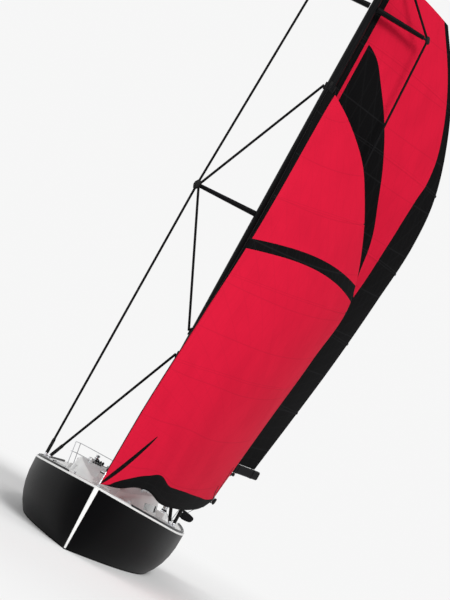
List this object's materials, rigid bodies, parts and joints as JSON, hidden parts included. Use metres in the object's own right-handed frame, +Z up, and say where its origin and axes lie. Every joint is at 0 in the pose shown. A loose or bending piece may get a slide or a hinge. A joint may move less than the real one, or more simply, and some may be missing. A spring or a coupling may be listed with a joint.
{
  "type": "racing sloop under sail",
  "caption": "Keelboat sloop under sail on starboard tack: black hull, red jib and mainsail, swinging boom, spade rudder with wheel, propeller, hatches and locker lids.",
  "frame": {"origin": "amidships on the centreline at the waterline", "axes": "+X towards the bow, +Y to port, +Z up the mast"},
  "size_m": [12.3105, 5.8399, 18.972],
  "materials": {
    "black_gelcoat": "gloss",
    "white_gelcoat": "gloss",
    "carbon_black": "satin",
    "red_sailcloth": "matte",
    "steel": "polished",
    "glass": "smoked",
    "teak": "oiled",
    "lead_black": "satin",
    "engine_grey": "satin",
    "bronze": "satin",
    "cushion": "matte",
    "black_cover": "matte"
  },
  "bodies": {
    "root": {"hull": "black_gelcoat", "stem_band": "white_gelcoat", "deck": "white_gelcoat", "cabin_sole": "teak", "main_bulkhead": "teak", "companion_steps": "teak", "washboard": "teak", "engine": "engine_grey", "saildrive_leg": "engine_grey", "keel_fin": "lead_black", "keel_bulb": "lead_black", "steering_pedestal": "carbon_black", "mainsheet_track": "steel", "traveller_car": "carbon_black", "rescue_float": "black_cover", "pushpit": "steel", "stem_fitting": "steel", "mast_step": "steel", "mast": "carbon_black", "mast_bracket": "steel", "forestay": "carbon_black", "jib": "red_sailcloth", "window_port": "glass", "settee_port": "cushion", "winch_primary_port": "steel", "winch_cabin_port": "steel", "toe_rail_port": "carbon_black", "spreader_lower_port": "carbon_black", "spreader_upper_port": "carbon_black", "chainplate_port": "steel", "cap_shroud_port": "carbon_black", "lower_shroud_port": "carbon_black", "diamond_stay_port": "carbon_black", "window_starboard": "glass", "settee_starboard": "cushion", "winch_primary_starboard": "steel", "winch_cabin_starboard": "steel", "toe_rail_starboard": "carbon_black", "spreader_lower_starboard": "carbon_black", "spreader_upper_starboard": "carbon_black", "chainplate_starboard": "steel", "cap_shroud_starboard": "carbon_black", "lower_shroud_starboard": "carbon_black", "diamond_stay_starboard": "carbon_black"},
    "boom": {"boom": "carbon_black", "gooseneck": "steel", "vang": "carbon_black", "mainsail": "red_sailcloth"},
    "rudder": {"rudder": "lead_black"},
    "wheel": {"steering_wheel": "carbon_black"},
    "propeller": {"propeller": "bronze"},
    "fore_hatch": {"fore_hatch": "glass"},
    "anchor_lid": {"anchor_lid": "white_gelcoat"},
    "companion_hatch": {"companion_hatch": "glass"},
    "locker_lid_port": {"locker_lid_port": "white_gelcoat"},
    "locker_lid_starboard": {"locker_lid_starboard": "white_gelcoat"}
  },
  "joints": [
    {"name": "boom_swing", "type": "hinge", "parent": "root", "child": "boom", "pos_m": [1.14, 0, 3.08], "axis": [0, 0, 1], "range_deg": [-8, 96]},
    {"name": "rudder_turn", "type": "hinge", "parent": "root", "child": "rudder", "pos_m": [-5.15, 0, -0.3], "axis": [0, 0, 1], "range_deg": [-35, 35]},
    {"name": "wheel_turn", "type": "hinge", "parent": "root", "child": "wheel", "pos_m": [-4.74, 0, 1.36], "axis": [1, 0, 0], "range_deg": [-245, 245]},
    {"name": "propeller_spin", "type": "hinge", "parent": "root", "child": "propeller", "pos_m": [-2.91, 0, -1.02], "axis": [1, 0, 0], "continuous": true},
    {"name": "fore_hatch_lid", "type": "hinge", "parent": "root", "child": "fore_hatch", "pos_m": [2.845, 0, 1.806], "axis": [0, 1, 0], "range_deg": [0, 100]},
    {"name": "anchor_locker_lid", "type": "hinge", "parent": "root", "child": "anchor_lid", "pos_m": [4.575, 0, 1.606], "axis": [0, -1, 0], "range_deg": [0, 85]},
    {"name": "locker_lid_port_turn", "type": "hinge", "parent": "root", "child": "locker_lid_port", "pos_m": [-3.3, 1.11, 0.986], "axis": [-1, 0, 0], "range_deg": [0, 80]},
    {"name": "locker_lid_starboard_turn", "type": "hinge", "parent": "root", "child": "locker_lid_starboard", "pos_m": [-3.3, -1.11, 0.986], "axis": [1, 0, 0], "range_deg": [0, 80]},
    {"name": "companion_hatch_slide", "type": "slide", "parent": "root", "child": "companion_hatch", "axis": [1, 0, 0], "range_m": [0, 0.6]}
  ],
  "couplings": [
    {"joint": "wheel_turn", "follows": "rudder_turn", "ratio": 7}
  ]
}
